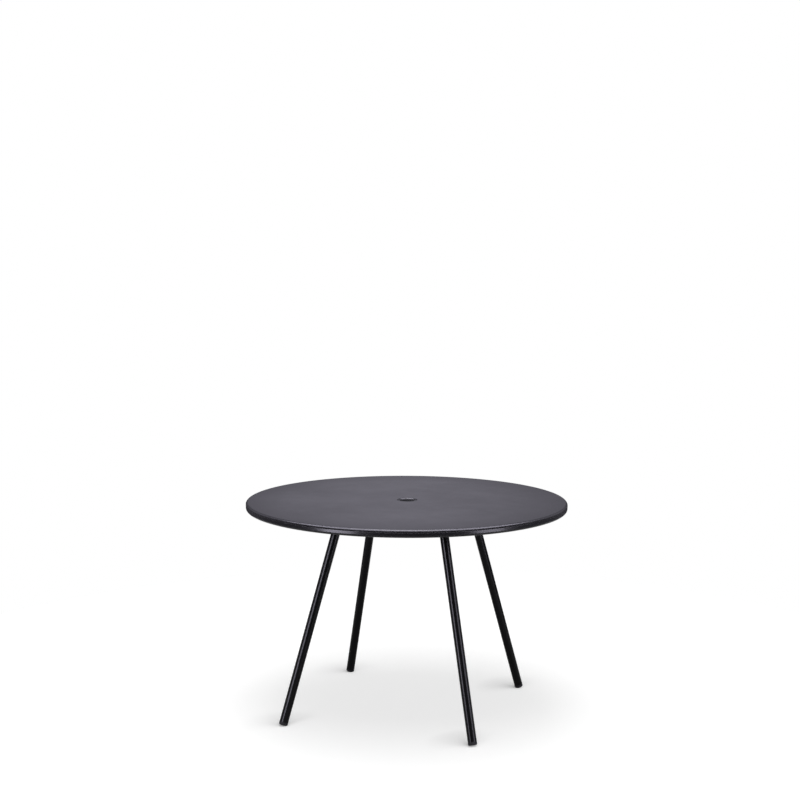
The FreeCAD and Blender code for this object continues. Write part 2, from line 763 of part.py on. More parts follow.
def main():
    doc = FreeCAD.newDocument("parasol_table")
    write_sheet(doc)
    sizes = Sizes()
    pieces = [
        make_top_sheet(doc, sizes),
        make_rim_hoop(doc, sizes),
        make_parasol_collar(doc, sizes),
        make_collar_nut(doc, sizes),
        make_end_caps(doc, sizes),
        make_leg_screws(doc, sizes),
        make_rivet_nuts(doc, sizes),
        make_top_studs(doc, sizes),
        make_stud_nuts(doc, sizes),
    ]
    pieces += make_frame(doc, sizes)
    pieces += make_legs(doc, sizes)
    doc.recompute()
    check_model(doc, pieces)
    os.makedirs("parts", exist_ok=True)
    for piece in pieces:
        piece.Shape.exportStep(f"parts/{piece.Label}.step")
        print(f"{piece.Label}: {len(piece.Shape.Solids)} solids, {piece.Shape.Volume:.0f} mm3")


main()
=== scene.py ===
import json
import math

import bmesh
import bpy
from bpy.props import FloatProperty, FloatVectorProperty, IntProperty, PointerProperty
from mathutils import Matrix, Vector

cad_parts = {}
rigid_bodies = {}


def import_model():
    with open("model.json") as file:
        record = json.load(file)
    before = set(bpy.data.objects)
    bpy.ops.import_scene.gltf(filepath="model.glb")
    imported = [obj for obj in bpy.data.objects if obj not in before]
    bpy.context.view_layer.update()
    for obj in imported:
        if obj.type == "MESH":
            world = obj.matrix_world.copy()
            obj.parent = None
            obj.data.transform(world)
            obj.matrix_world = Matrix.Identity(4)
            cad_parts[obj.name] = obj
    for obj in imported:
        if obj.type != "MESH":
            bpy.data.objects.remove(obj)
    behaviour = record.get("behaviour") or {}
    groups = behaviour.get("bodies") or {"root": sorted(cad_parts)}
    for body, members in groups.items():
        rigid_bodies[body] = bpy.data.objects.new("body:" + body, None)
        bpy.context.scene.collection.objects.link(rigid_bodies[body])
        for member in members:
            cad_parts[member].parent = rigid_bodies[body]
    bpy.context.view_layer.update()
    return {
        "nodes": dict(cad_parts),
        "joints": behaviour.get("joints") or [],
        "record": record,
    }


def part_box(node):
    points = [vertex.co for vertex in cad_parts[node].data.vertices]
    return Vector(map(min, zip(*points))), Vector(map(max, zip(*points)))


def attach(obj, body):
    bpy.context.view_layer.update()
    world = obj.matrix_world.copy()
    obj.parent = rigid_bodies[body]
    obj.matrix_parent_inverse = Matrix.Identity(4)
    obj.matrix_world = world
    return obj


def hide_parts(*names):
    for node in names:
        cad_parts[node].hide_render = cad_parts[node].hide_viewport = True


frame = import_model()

bl_info = {
    "name": "Parasol Table",
    "version": (1, 0, 0),
    "blender": (4, 5, 0),
    "location": "3D View > Sidebar > Parasol Table",
    "description": "Finishes and fine pieces of a round garden table, and the studio round it",
    "category": "Object",
}

# The corners of the table, by the direction of each leg.
CORNERS = {"back_right": 45.0, "back_left": 135.0, "front_left": 225.0, "front_right": 315.0}
MM = 0.001

# The photograph's frame in pixels, and the camera's sensor in millimetres.
FRAME = 800
SENSOR = 36.0


# The sizes, the colours and the light.


def length(name, description, millimetres):
    """A length property, given in millimetres."""
    return FloatProperty(name=name, description=description, default=millimetres * MM,
                         unit="LENGTH", precision=5)


def colour(name, description, red, green, blue):
    """A colour property, given in linear light."""
    return FloatVectorProperty(name=name, description=description, default=(red, green, blue),
                               subtype="COLOR")


def power(name, description, watts):
    """A lamp's power."""
    return FloatProperty(name=name, description=description, default=watts, unit="POWER")


class TableSizes(bpy.types.PropertyGroup):
    """The sizes of the fine pieces, most of them the solids' own."""

    height: FloatProperty(
        name="Height", description="Floor to the top of the sheet", unit="LENGTH",
        default=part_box("top_sheet")[1].z)
    radius: FloatProperty(
        name="Radius", description="Middle to the outside of the rim", unit="LENGTH",
        default=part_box("top_sheet")[1].x)
    sheet: length("Sheet", "Thickness of the tabletop's sheet", 3)
    sheet_round: length("Sheet rounding", "Outside rounding where the sheet turns down", 7.5)
    edge: length("Sheet edge", "Top of the sheet to the end of its turned-down edge", 9)
    rim: length("Rim", "Top of the sheet to the bottom of the hoop", 26)
    hoop_wall: length("Hoop wall", "Thickness of the hoop", 4)
    hoop_round: length("Hoop rounding", "Outside rounding where the hoop turns in", 8)
    hoop_lip: length("Hoop lip", "Outside of the rim to the end of the hoop's lip", 13)
    lip_round: length("Lip rounding", "Rounding at the end of the hoop's lip", 1.2)
    seam_round: length("Seam", "Rounding beside the seam between sheet and hoop", 0.8)
    recess: length("Recess", "Radius of the recess in the sheet", 33.5)
    recess_depth: length("Recess depth", "Top of the sheet to the recess's floor", 5)
    recess_round: length("Recess rounding", "Rounding where the sheet turns into the recess", 3)
    pole: length("Pole bore", "Radius of the collar's bore", 25)
    barrel: length("Barrel", "Outside radius of the collar's barrel", 28)
    collar: length("Collar", "Outside radius of the collar's flange", 33)
    collar_flange: length("Collar flange", "Thickness of the collar's flange", 3)
    collar_round: length("Collar rounding", "Rounding outside the collar's flange", 0.8)
    collar_mouth: length("Collar mouth", "Rounding from the flange into the bore", 4)
    collar_gap: length("Collar gap", "Gap between the collar's barrel and the sheet", 0.3)
    collar_end: length("Collar end", "Height of the barrel's lower end", 714)
    collar_pitch: length("Collar pitch", "Pitch of the barrel's thread", 2.5)
    collar_thread: length("Collar thread", "Depth of the barrel's thread", 0.8)
    leg_top: length("Leg top", "Height of the legs' upper ends", 717)
    leg_circle: length("Leg circle", "Middle of the table to a leg's axis, at the top", 248)
    tube: length("Tube", "Radius of a leg", 15)
    rail_bottom: length("Rail bottom", "Height of the frame's lower face", 722)
    rail_width: length("Rail width", "Width of the frame's flat tube", 40)
    screw_circle: length("Screw circle", "Leg's axis to a screw", 42)
    screw: length("Screw", "Radius of a leg screw", 3)
    screw_length: length("Screw length", "Length of a leg screw under its head", 14)
    head: length("Screw head", "Radius of a screw's head", 5.25)
    head_depth: length("Head depth", "Height of a screw's head", 3)
    head_side: length("Head side", "Height of the head's straight side", 0.9)
    head_flat: length("Head flat", "Radius of the flat on top of the head", 4)
    socket: length("Socket", "Radius of the head's socket", 2.2)
    socket_depth: length("Socket depth", "Depth of the head's socket", 1.8)
    leg_weld: length("Leg weld", "Width of the weld round a leg's tube", 4.4)
    frame_weld: length("Frame weld", "Width of the welds between the rails", 5)
    hoop_weld: length("Hoop weld", "Width of the welds between hoop and sheet", 4)
    hoop_weld_length: length("Hoop weld length", "Length of each of these welds", 24)
    hoop_weld_count: IntProperty(
        name="Hoop welds", description="Number of welds round the hoop", default=24)
    glide_floor: length("Foot floor", "Thickness of the glide's foot under its stem", 3)
    glide_round: length("Foot rounding", "Rounding at the bottom of the glide", 3)
    stem: length("Stem", "Radius of a glide's stem", 4)
    stem_tip: length("Stem tip", "Glide's lower face to the tip of its stem", 39.2)
    stem_point: length("Stem point", "Chamfer at the stem's tip", 1)
    stem_pitch: length("Stem pitch", "Pitch of the stem's thread", 1.25)
    stem_thread: length("Stem thread", "Depth of the stem's thread", 0.65)
    ring_steps: IntProperty(name="Steps", description="Steps round a large ring", default=256)


class TableColours(bpy.types.PropertyGroup):
    """The colours of the finishes."""

    top: colour("Top coating", "Powder coating of the sheet and the rim", 0.0135, 0.0128, 0.0165)
    frame: colour("Frame coating", "Powder coating of legs and frame", 0.006, 0.0058, 0.0068)
    plastic: colour("Plastic", "Moulded pieces", 0.009, 0.009, 0.01)
    steel: colour("Steel", "Screws, nuts and stems", 0.56, 0.56, 0.57)
    floor: colour("Floor", "The studio's floor", 0.8, 0.8, 0.8)
    room: colour("Room", "Tint of the room and its lights in reflections", 1.02, 0.985, 1.15)


class StudioSettings(bpy.types.PropertyGroup):
    """The light, and the camera's place."""

    sky: FloatProperty(name="Sky", description="Strength of the light from all round", default=0.45)
    overhead: power("Overhead", "Power of the overhead light", 165)
    gleam: power("Gleam", "Power of the wide light that only reflections show", 880)
    left_box: power("Left box", "Power of the upright light on the left", 98)
    right_box: power("Right box", "Power of the upright light on the right", 64)
    focal: FloatProperty(
        name="Focal length", description="In pixels of the photograph's frame", default=1368.25)


# The finishes.


class Value:
    """One output of a node, on which arithmetic adds Math nodes."""

    def __init__(self, tree, socket):
        self.tree = tree
        self.socket = socket

    def math(self, operation, *numbers):
        """A Math node on its numbers, in their order."""
        return self.tree.node("ShaderNodeMath", {"operation": operation}, dict(enumerate(numbers)))

    def larger(self, other):
        """The larger of two values."""
        return self.math("MAXIMUM", self, other)

    def __abs__(self):
        return self.math("ABSOLUTE", self)

    def __add__(self, other):
        return self.math("ADD", self, other)

    def __radd__(self, other):
        return self.math("ADD", other, self)

    def __sub__(self, other):
        return self.math("SUBTRACT", self, other)

    def __rsub__(self, other):
        return self.math("SUBTRACT", other, self)

    def __mul__(self, other):
        return self.math("MULTIPLY", self, other)

    def __rmul__(self, other):
        return self.math("MULTIPLY", other, self)

    def __pow__(self, other):
        return self.math("POWER", self, other)

    def __rpow__(self, other):
        return self.math("POWER", other, self)


class ShaderTree:
    """A node tree, with the one method that adds its nodes."""

    def __init__(self, owner):
        owner.use_nodes = True
        self.tree = owner.node_tree
        self.tree.nodes.clear()

    def node(self, kind, settings=None, inputs=None, output=0):
        """Add a node: its settings are set first, and then its sockets get values or links."""
        made = self.tree.nodes.new(kind)
        for name, value in (settings or {}).items():
            if name == "stops":
                set_stops(made.color_ramp, value)
            else:
                setattr(made, name, value)
        for name, value in (inputs or {}).items():
            if isinstance(value, Value):
                self.tree.links.new(value.socket, made.inputs[name])
            else:
                made.inputs[name].default_value = value
        return Value(self, made.outputs[output] if made.outputs else None)

    def noise(self, place, scale, detail, rough):
        """Noise between 0 and 1 that follows a place."""
        inputs = {"Vector": place, "Scale": scale, "Detail": detail, "Roughness": rough}
        return self.node("ShaderNodeTexNoise", {"normalize": True}, inputs)

    def between(self, factor, low, high):
        """A colour between two colours, which are the Mix node's sockets 6 and 7."""
        settings = {"data_type": "RGBA", "clamp_factor": True}
        return self.node("ShaderNodeMix", settings, {0: factor, 6: (*low, 1.0), 7: (*high, 1.0)},
                         output=2)

    def follow(self, value, start, end, at_start, at_end, change="LINEAR"):
        """A value that changes only while another one goes from start to end."""
        return self.node("ShaderNodeMapRange", {"interpolation_type": change},
                         {0: value, 1: start, 2: end, 3: at_start, 4: at_end})

    def along(self, place, direction):
        """How far a place lies along a direction."""
        return self.node("ShaderNodeVectorMath", {"operation": "DOT_PRODUCT"},
                         {0: place, 1: direction}, output=1)

    def bump(self, height, strength, distance):
        """A normal that follows a height."""
        return self.node("ShaderNodeBump",
                         inputs={"Height": height, "Strength": strength, "Distance": distance})


def set_stops(ramp, stops):
    """Give a ramp its stops, each a position and a grey."""
    while len(ramp.elements) < len(stops):
        ramp.elements.new(0.5)
    for element, (position, grey) in zip(ramp.elements, stops):
        element.position = position
        element.color = (grey, grey, grey, 1.0)


def tint(base, factor):
    """A colour made darker or paler."""
    return tuple(channel * factor for channel in base)


def finish(name, build):
    """A material by name, whose nodes are built once."""
    made = bpy.data.materials.get(name)
    if made is None:
        made = bpy.data.materials.new(name)
        tree = ShaderTree(made)
        place = tree.node("ShaderNodeTexCoord", output="Object")
        surface = build(tree, place)
        tree.node("ShaderNodeOutputMaterial", inputs={"Surface": surface})
    return made


def coating(tree, place, base, rough, index, mottle, polish):
    """Powder coating: faint clouds in its colour, a fine orange peel and a finer grain."""
    clouds = tree.noise(place, scale=4.2, detail=3.0, rough=0.55)
    flow = tree.noise(place, scale=26.0, detail=3.0, rough=0.5)
    peel = tree.noise(place, scale=520.0, detail=2.0, rough=0.5)
    grain = tree.noise(place, scale=2300.0, detail=1.0, rough=0.5)
    spread = tree.node("ShaderNodeValToRGB", {"stops": ((0.34, 0.0), (0.66, 1.0))},
                       {0: clouds * 0.7 + flow * 0.3})
    shade = tree.between(spread, tint(base, 1 - mottle), tint(base, 1 + mottle))
    bump = tree.bump(peel * 0.6 + grain * 0.4, strength=0.35, distance=0.12 * MM)
    # Wiping polishes the top in patches, and never reaches its rim. The reach is measured from
    # the floor under the middle: 0.85 m is 0.42 m out on the top, and 0.92 m is at its rim.
    reach = tree.node("ShaderNodeVectorMath", {"operation": "LENGTH"}, {0: place}, output=1)
    wiped = tree.follow(reach, start=0.85, end=0.92, at_start=polish, at_end=0.0)
    return tree.node("ShaderNodeBsdfPrincipled", inputs={
        "Base Color": shade,
        "Roughness": rough - 0.02 + flow * 0.04,
        "IOR": index,
        "Coat Weight": (0.35 + spread * 0.65) * wiped,
        "Coat Roughness": rough,
        "Normal": bump,
    })


def moulding(tree, place, base):
    """Moulded plastic: a fine satin grain, a little paler where it has rubbed."""
    patches = tree.noise(place, scale=60.0, detail=3.0, rough=0.6)
    grain = tree.noise(place, scale=1700.0, detail=2.0, rough=0.6)
    shade = tree.between(patches, tint(base, 0.85), tint(base, 1.25))
    return tree.node("ShaderNodeBsdfPrincipled", inputs={
        "Base Color": shade,
        "Roughness": 0.72 + patches * 0.16,
        "IOR": 1.25,
        "Normal": tree.bump(grain, strength=0.7, distance=0.1 * MM),
    })


def steel(tree, place, base):
    """Stainless steel: turned and tumbled, with soft changes in its polish."""
    patches = tree.noise(place, scale=140.0, detail=3.0, rough=0.6)
    scratches = tree.noise(place, scale=3200.0, detail=2.0, rough=0.7)
    shade = tree.between(patches, tint(base, 0.88), tint(base, 1.06))
    return tree.node("ShaderNodeBsdfPrincipled", inputs={
        "Base Color": shade,
        "Metallic": 1.0,
        "Roughness": 0.26 + patches * 0.12,
        "Normal": tree.bump(scratches, strength=0.4, distance=0.03 * MM),
    })


def slot_finish(colours, slot):
    """The material of one of the record's slots."""
    makers = {
        "coated_top": lambda tree, place: coating(
            tree, place, colours.top, rough=0.25, index=1.3, mottle=0.10, polish=0.38),
        "coated_frame": lambda tree, place: coating(
            tree, place, colours.frame, rough=0.24, index=1.22, mottle=0.08, polish=0.0),
        "black_moulding": lambda tree, place: moulding(tree, place, colours.plastic),
        "stainless": lambda tree, place: steel(tree, place, colours.steel),
    }
    return finish(f"{slot}_finish", makers[slot])


# The modelling steps that several pieces share.


def outline(mesh, corners, segments=5, guard=0.2 * MM):
    """A closed outline in the X-Z plane through corners of (across, up, rounding)."""
    points = [Vector((across, 0.0, up)) for across, up, _ in corners]
    chain, rounded = [], []
    for index, (point, (_, _, rounding)) in enumerate(zip(points, corners)):
        before, after = points[index - 1], points[(index + 1) % len(points)]
        if not rounding:
            chain.append(mesh.verts.new(point))
            continue
        # Points close to a rounding keep its shading off the flat beside it.
        reach = rounding + guard
        one_side = mesh.verts.new(point + (before - point).normalized() * reach)
        corner = mesh.verts.new(point)
        other_side = mesh.verts.new(point + (after - point).normalized() * reach)
        chain += [one_side, corner, other_side]
        rounded.append((corner, rounding))
    for one, other in zip(chain, chain[1:] + chain[:1]):
        mesh.edges.new((one, other))
    for corner, rounding in rounded:
        bmesh.ops.bevel(mesh, geom=[corner], offset=rounding, segments=segments, profile=0.5,
                        affect="VERTICES", offset_type="OFFSET", material=-1)


def spin_round(mesh, steps):
    """Spin everything in the mesh once round the Z axis."""
    bmesh.ops.spin(mesh, geom=mesh.verts[:] + mesh.edges[:], cent=(0, 0, 0), axis=(0, 0, 1),
                   angle=math.tau, steps=steps, use_merge=True)
    bmesh.ops.remove_doubles(mesh, verts=mesh.verts[:], dist=1e-6)
    bmesh.ops.recalc_face_normals(mesh, faces=mesh.faces[:])


def thread(mesh, crest, pitch, depth, start, end, steps):
    """A thread's ridge round the Z axis between two heights: a helix of a three-sided profile."""
    # The ridge leaves a little of its pitch free, and its root is sunk a little into the core.
    half = pitch * 0.42
    root = crest - depth * 1.3
    sides = [(root, start - half), (crest, start), (root, start + half)]
    points = [mesh.verts.new((across, 0.0, up)) for across, up in sides]
    lines = [mesh.edges.new((one, other)) for one, other in zip(points, points[1:] + points[:1])]
    count = int((end - start) / pitch * steps)
    made = bmesh.ops.spin(mesh, geom=points + lines, cent=(0, 0, 0), axis=(0, 0, 1),
                          dvec=(0, 0, pitch / steps), angle=math.tau * count / steps, steps=count)
    last = [part for part in made["geom_last"] if isinstance(part, bmesh.types.BMEdge)]
    for loop in (lines, last):
        bmesh.ops.contextual_create(mesh, geom=loop)


def add_piece(name, mesh, material, body, smooth_angle=35.0, matrix=None):
    """Make an object of the mesh, with its place in its vertices, and let it ride on a body."""
    if matrix is not None:
        bmesh.ops.transform(mesh, matrix=matrix, verts=mesh.verts[:])
    data = bpy.data.meshes.new(name)
    mesh.to_mesh(data)
    mesh.free()
    data.materials.append(material)
    data.shade_smooth()
    data.set_sharp_from_angle(angle=math.radians(smooth_angle))
    piece = bpy.data.objects.new(name, data)
    bpy.context.scene.collection.objects.link(piece)
    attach(piece, body)
    return piece


def weld_line(curve, points, closed):
    """Add a weld along the points, whose ripples come from a width that rises and falls."""
    ripple, tip = (1.0, 0.93, 0.85), 0.55
    spline = curve.splines.new("POLY")
    spline.points.add(len(points) - 1)
    for index, (point, place) in enumerate(zip(spline.points, points)):
        point.co = (*place, 1.0)
        point.radius = ripple[index % len(ripple)]
    if not closed:
        for point in (spline.points[0], spline.points[-1]):
            point.radius = tip
    spline.use_cyclic_u = closed


def weld_piece(name, runs, width, material, body):
    """One piece of several welds, each a list of points and whether it closes."""
    curve = bpy.data.curves.new(name, "CURVE")
    curve.dimensions = "3D"
    curve.bevel_depth = width / 2
    curve.bevel_resolution = 2
    curve.use_fill_caps = True
    for points, closed in runs:
        weld_line(curve, points, closed)
    source = bpy.data.objects.new(name + "_line", curve)
    bpy.context.scene.collection.objects.link(source)
    bpy.context.view_layer.update()
    mesh = bmesh.new()
    graph = bpy.context.evaluated_depsgraph_get()
    data = bpy.data.meshes.new_from_object(source.evaluated_get(graph))
    mesh.from_mesh(data)
    bpy.data.objects.remove(source)
    bpy.data.meshes.remove(data)
    bpy.data.curves.remove(curve)
    bmesh.ops.recalc_face_normals(mesh, faces=mesh.faces[:])
    return add_piece(name, mesh, material, body, smooth_angle=80.0)


def stretch(start, end, step=0.8 * MM):
    """Points from start to end at even steps."""
    count = max(2, round((end - start).length / step))
    return [start.lerp(end, index / count) for index in range(count + 1)]


def splay():
    """The legs' angle from the vertical, from the joints' own axes."""
    return math.acos(-frame["joints"][0]["axis"][2])


def leg_place(sizes, direction):
    """The matrix that puts a leg's own upright axis, from the glide's lower face, in its place."""
    slant = splay()
    # The foot stands on the rounding round its flat lower face.
    flat = sizes.tube - sizes.glide_round
    foot_height = flat * math.sin(slant) + sizes.glide_round * (1 - math.cos(slant))
    foot_circle = sizes.leg_circle + (sizes.leg_top - foot_height) * math.tan(slant)
    turn = Matrix.Rotation(math.radians(direction), 4, "Z")
    shift = Matrix.Translation((foot_circle, 0, foot_height))
    return turn @ shift @ Matrix.Rotation(-slant, 4, "Y")


# The pieces and the studio.


class TableOperator:
    """What every operator of the table shares."""

    bl_options = {"REGISTER", "UNDO"}

    def settings(self, context):
        """The sizes and the colours."""
        return context.scene.table_sizes, context.scene.table_colours


class TABLE_OT_coat_solids(TableOperator, bpy.types.Operator):
    """Give every solid of the table the finish of its slot"""

    bl_idname = "table.coat_solids"
    bl_label = "Coat the solids"

    def execute(self, context):
        _, colours = self.settings(context)
        for row in frame["record"]["subparts"]:
            data = frame["nodes"][row["node"]].data
            data.materials.clear()
            data.materials.append(slot_finish(colours, row["material_slot"]))
        return {"FINISHED"}


class TABLE_OT_add_top(TableOperator, bpy.types.Operator):
    """Add the tabletop's sheet and its hoop as smooth turned shapes"""

    bl_idname = "table.add_top"
    bl_label = "Add the top"

    def execute(self, context):
        sizes, colours = self.settings(context)
        coat = slot_finish(colours, "coated_top")
        top, under, seam = sizes.height, sizes.height - sizes.sheet, sizes.height - sizes.edge
        hole = sizes.barrel + sizes.collar_gap
        floor = top - sizes.recess_depth
        recess_outside = sizes.recess + sizes.sheet
        edge_inside = sizes.radius - sizes.sheet
        cut_round, press_round, floor_round = 0.3 * MM, 1.0 * MM, 0.8 * MM
        mesh = bmesh.new()
        outline(mesh, [
            (hole, floor - sizes.sheet, cut_round),
            (recess_outside, floor - sizes.sheet, sizes.recess_round),
            (recess_outside, under, press_round),
            (edge_inside, under, sizes.sheet_round - sizes.sheet),
            (edge_inside, seam, 0.0),
            (sizes.radius, seam, sizes.seam_round),
            (sizes.radius, top, sizes.sheet_round),
            (sizes.recess, top, sizes.recess_round),
            (sizes.recess, floor, floor_round),
            (hole, floor, cut_round),
        ], segments=7)
        spin_round(mesh, sizes.ring_steps)
        sheet = add_piece("tabletop_sheet", mesh, coat, "table")
        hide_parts("top_sheet")
        low = top - sizes.rim
        inside = sizes.radius - sizes.hoop_wall
        lip_end = sizes.radius - sizes.hoop_lip
        mesh = bmesh.new()
        outline(mesh, [
            (lip_end, low, sizes.lip_round),
            (sizes.radius, low, sizes.hoop_round),
            (sizes.radius, seam, sizes.seam_round),
            (inside, seam, 0.0),
            (inside, low + sizes.hoop_wall, sizes.hoop_round - sizes.hoop_wall),
            (lip_end, low + sizes.hoop_wall, sizes.lip_round),
        ], segments=7)
        spin_round(mesh, sizes.ring_steps)
        hoop = add_piece("tabletop_hoop", mesh, coat, "table")
        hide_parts("rim_hoop")
        return {"FINISHED"}


class TABLE_OT_add_collar(TableOperator, bpy.types.Operator):
    """Add the parasol collar with the thread on its barrel"""

    bl_idname = "table.add_collar"
    bl_label = "Add the collar"

    def execute(self, context):
        sizes, colours = self.settings(context)
        core = sizes.barrel - sizes.collar_thread
        floor = sizes.height - sizes.recess_depth
        top = floor + sizes.collar_flange
        barrel_round, under_round, lead_in = 0.6 * MM, 0.4 * MM, 1.5 * MM
        mesh = bmesh.new()
        outline(mesh, [
            (sizes.pole, sizes.collar_end, barrel_round),
            (core, sizes.collar_end, barrel_round),
            (core, floor, 0.0),
            (sizes.collar, floor, under_round),
            (sizes.collar, top, sizes.collar_round),
            (sizes.pole, top, sizes.collar_mouth),
        ], segments=8)
        spin_round(mesh, steps=128)
        thread(mesh, sizes.barrel, sizes.collar_pitch, sizes.collar_thread,
               sizes.collar_end + lead_in, floor - sizes.sheet, steps=64)
        material = slot_finish(colours, "black_moulding")
        collar = add_piece("collar", mesh, material, "table")
        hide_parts("parasol_collar")
        return {"FINISHED"}


class TABLE_OT_add_welds(TableOperator, bpy.types.Operator):
    """Add the welds of the legs, the frame and the hoop"""

    bl_idname = "table.add_welds"
    bl_label = "Add the welds"

    def leg_weld(self, sizes, direction):
        """The points round the leg's tube, just under its flange."""
        slant = splay()
        drop, off_tube, count = 1.6 * MM, 1.7 * MM, 120
        middle = sizes.leg_circle + drop * math.tan(slant)
        turn = Matrix.Rotation(math.radians(direction), 4, "Z")
        reach = sizes.tube + off_tube
        points = []
        for index in range(count):
            angle = math.tau * index / count
            across = middle + reach / math.cos(slant) * math.cos(angle)
            along = reach * math.sin(angle)
            points.append(turn @ Vector((across, along, sizes.leg_top - drop)))
        return points

    def frame_welds(self, sizes):
        """The upright corners where four rails meet over each leg."""
        line = sizes.leg_circle / math.sqrt(2)
        edges = (line - sizes.rail_width / 2, line + sizes.rail_width / 2)
        low, high = sizes.rail_bottom, sizes.height - sizes.sheet
        for across in (-1, 1):
            for along in (-1, 1):
                for edge in edges:
                    for other in edges:
                        place = Vector((across * edge, along * other, 0))
                        yield stretch(place + Vector((0, 0, low)), place + Vector((0, 0, high)))

    def hoop_welds(self, sizes):
        """Short welds between the hoop and the sheet's edge, at even steps round the inside."""
        count, steps = sizes.hoop_weld_count, 30
        # The beads sink a little into the hoop and into the sheet's edge.
        into_hoop, into_edge = 0.3 * MM, 0.2 * MM
        inside = sizes.radius - sizes.hoop_wall + into_hoop
        under = sizes.height - sizes.edge + into_edge
        for index in range(count):
            middle = math.tau * (index + 0.5) / count
            points = []
            for step in range(steps + 1):
                angle = middle + (step / steps - 0.5) * sizes.hoop_weld_length / inside
                points.append(Vector((inside * math.cos(angle), inside * math.sin(angle), under)))
            yield points

    def execute(self, context):
        sizes, colours = self.settings(context)
        frame_coat = slot_finish(colours, "coated_frame")
        top_coat = slot_finish(colours, "coated_top")
        for corner, direction in CORNERS.items():
            runs = [(self.leg_weld(sizes, direction), True)]
            weld_piece(f"leg_weld_{corner}", runs, sizes.leg_weld, frame_coat, "table")
        runs = [(points, False) for points in self.frame_welds(sizes)]
        weld_piece("frame_welds", runs, sizes.frame_weld, frame_coat, "table")
        runs = [(points, False) for points in self.hoop_welds(sizes)]
        weld_piece("hoop_welds", runs, sizes.hoop_weld, top_coat, "table")
        return {"FINISHED"}


class TABLE_OT_add_screws(TableOperator, bpy.types.Operator):
    """Add the leg screws with their domed heads and hexagon sockets"""

    bl_idname = "table.add_screws"
    bl_label = "Add the screws"

    def screw(self, mesh, place, sizes):
        """A screw that stands upside down under the flange, at its place."""
        part = bmesh.new()
        mouth_round, dome_round, side_round, tip_round = 0.2 * MM, 0.9 * MM, 0.5 * MM, 0.4 * MM
        outline(part, [
            (0.0, 0.0, 0.0),
            (0.0, -sizes.socket_depth, 0.0),
            (sizes.socket, -sizes.socket_depth, 0.0),
            (sizes.socket, -sizes.head_depth, mouth_round),
            (sizes.head_flat, -sizes.head_depth, dome_round),
            (sizes.head, -sizes.head_side, side_round),
            (sizes.head, 0.0, 0.0),
            (sizes.screw, 0.0, 0.0),
            (sizes.screw, sizes.screw_length, tip_round),
            (0.0, sizes.screw_length, 0.0),
        ], segments=3)
        spin_round(part, steps=24)
        # The socket's round wall becomes a hexagon, with a side for each sixth of a turn.
        sixth = math.pi / 3
        inner, outer = sizes.socket - 0.7 * MM, sizes.socket + 0.3 * MM
        for vert in part.verts:
            reach = math.hypot(vert.co.x, vert.co.y)
            if inner < reach < outer and vert.co.z < 0.01 * MM - sizes.socket_depth:
                angle = math.atan2(vert.co.y, vert.co.x) % sixth - sixth / 2
                scale = math.cos(sixth / 2) / math.cos(angle)
                vert.co.x *= scale
                vert.co.y *= scale
        bmesh.ops.transform(part, matrix=Matrix.Translation(place), verts=part.verts[:])
        data = bpy.data.meshes.new("screw")
        part.to_mesh(data)
        part.free()
        mesh.from_mesh(data)
        bpy.data.meshes.remove(data)

    def execute(self, context):
        sizes, colours = self.settings(context)
        line = sizes.leg_circle / math.sqrt(2)
        reach = sizes.screw_circle
        mesh = bmesh.new()
        for across in (-line, line):
            for along in (-line, line):
                for right, back in ((reach, 0), (-reach, 0), (0, reach), (0, -reach)):
                    place = Vector((across + right, along + back, sizes.leg_top))
                    self.screw(mesh, place, sizes)
        material = slot_finish(colours, "stainless")
        screws = add_piece("socket_screws", mesh, material, "table")
        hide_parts("leg_screws")
        return {"FINISHED"}


class TABLE_OT_add_stems(TableOperator, bpy.types.Operator):
    """Add the glides' stems with their threads"""

    bl_idname = "table.add_stems"
    bl_label = "Add the stems"

    def execute(self, context):
        sizes, colours = self.settings(context)
        metal = slot_finish(colours, "stainless")
        core = sizes.stem - sizes.stem_thread
        lead_in, run_out = 1.5 * MM, 1.2 * MM
        start, end = sizes.glide_floor + lead_in, sizes.stem_tip - run_out
        for corner, direction in CORNERS.items():
            mesh = bmesh.new()
            outline(mesh, [
                (0.0, sizes.glide_floor, 0.0),
                (core, sizes.glide_floor, 0.0),
                (core, sizes.stem_tip - sizes.stem_point, 0.0),
                (core - sizes.stem_point, sizes.stem_tip, 0.0),
                (0.0, sizes.stem_tip, 0.0),
            ])
            spin_round(mesh, steps=32)
            thread(mesh, sizes.stem, sizes.stem_pitch, sizes.stem_thread, start, end, steps=24)
            stem = add_piece(f"threaded_stem_{corner}", mesh, metal, f"glide_{corner}",
                             matrix=leg_place(sizes, direction))
            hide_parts(f"glide_stem_{corner}")
        return {"FINISHED"}


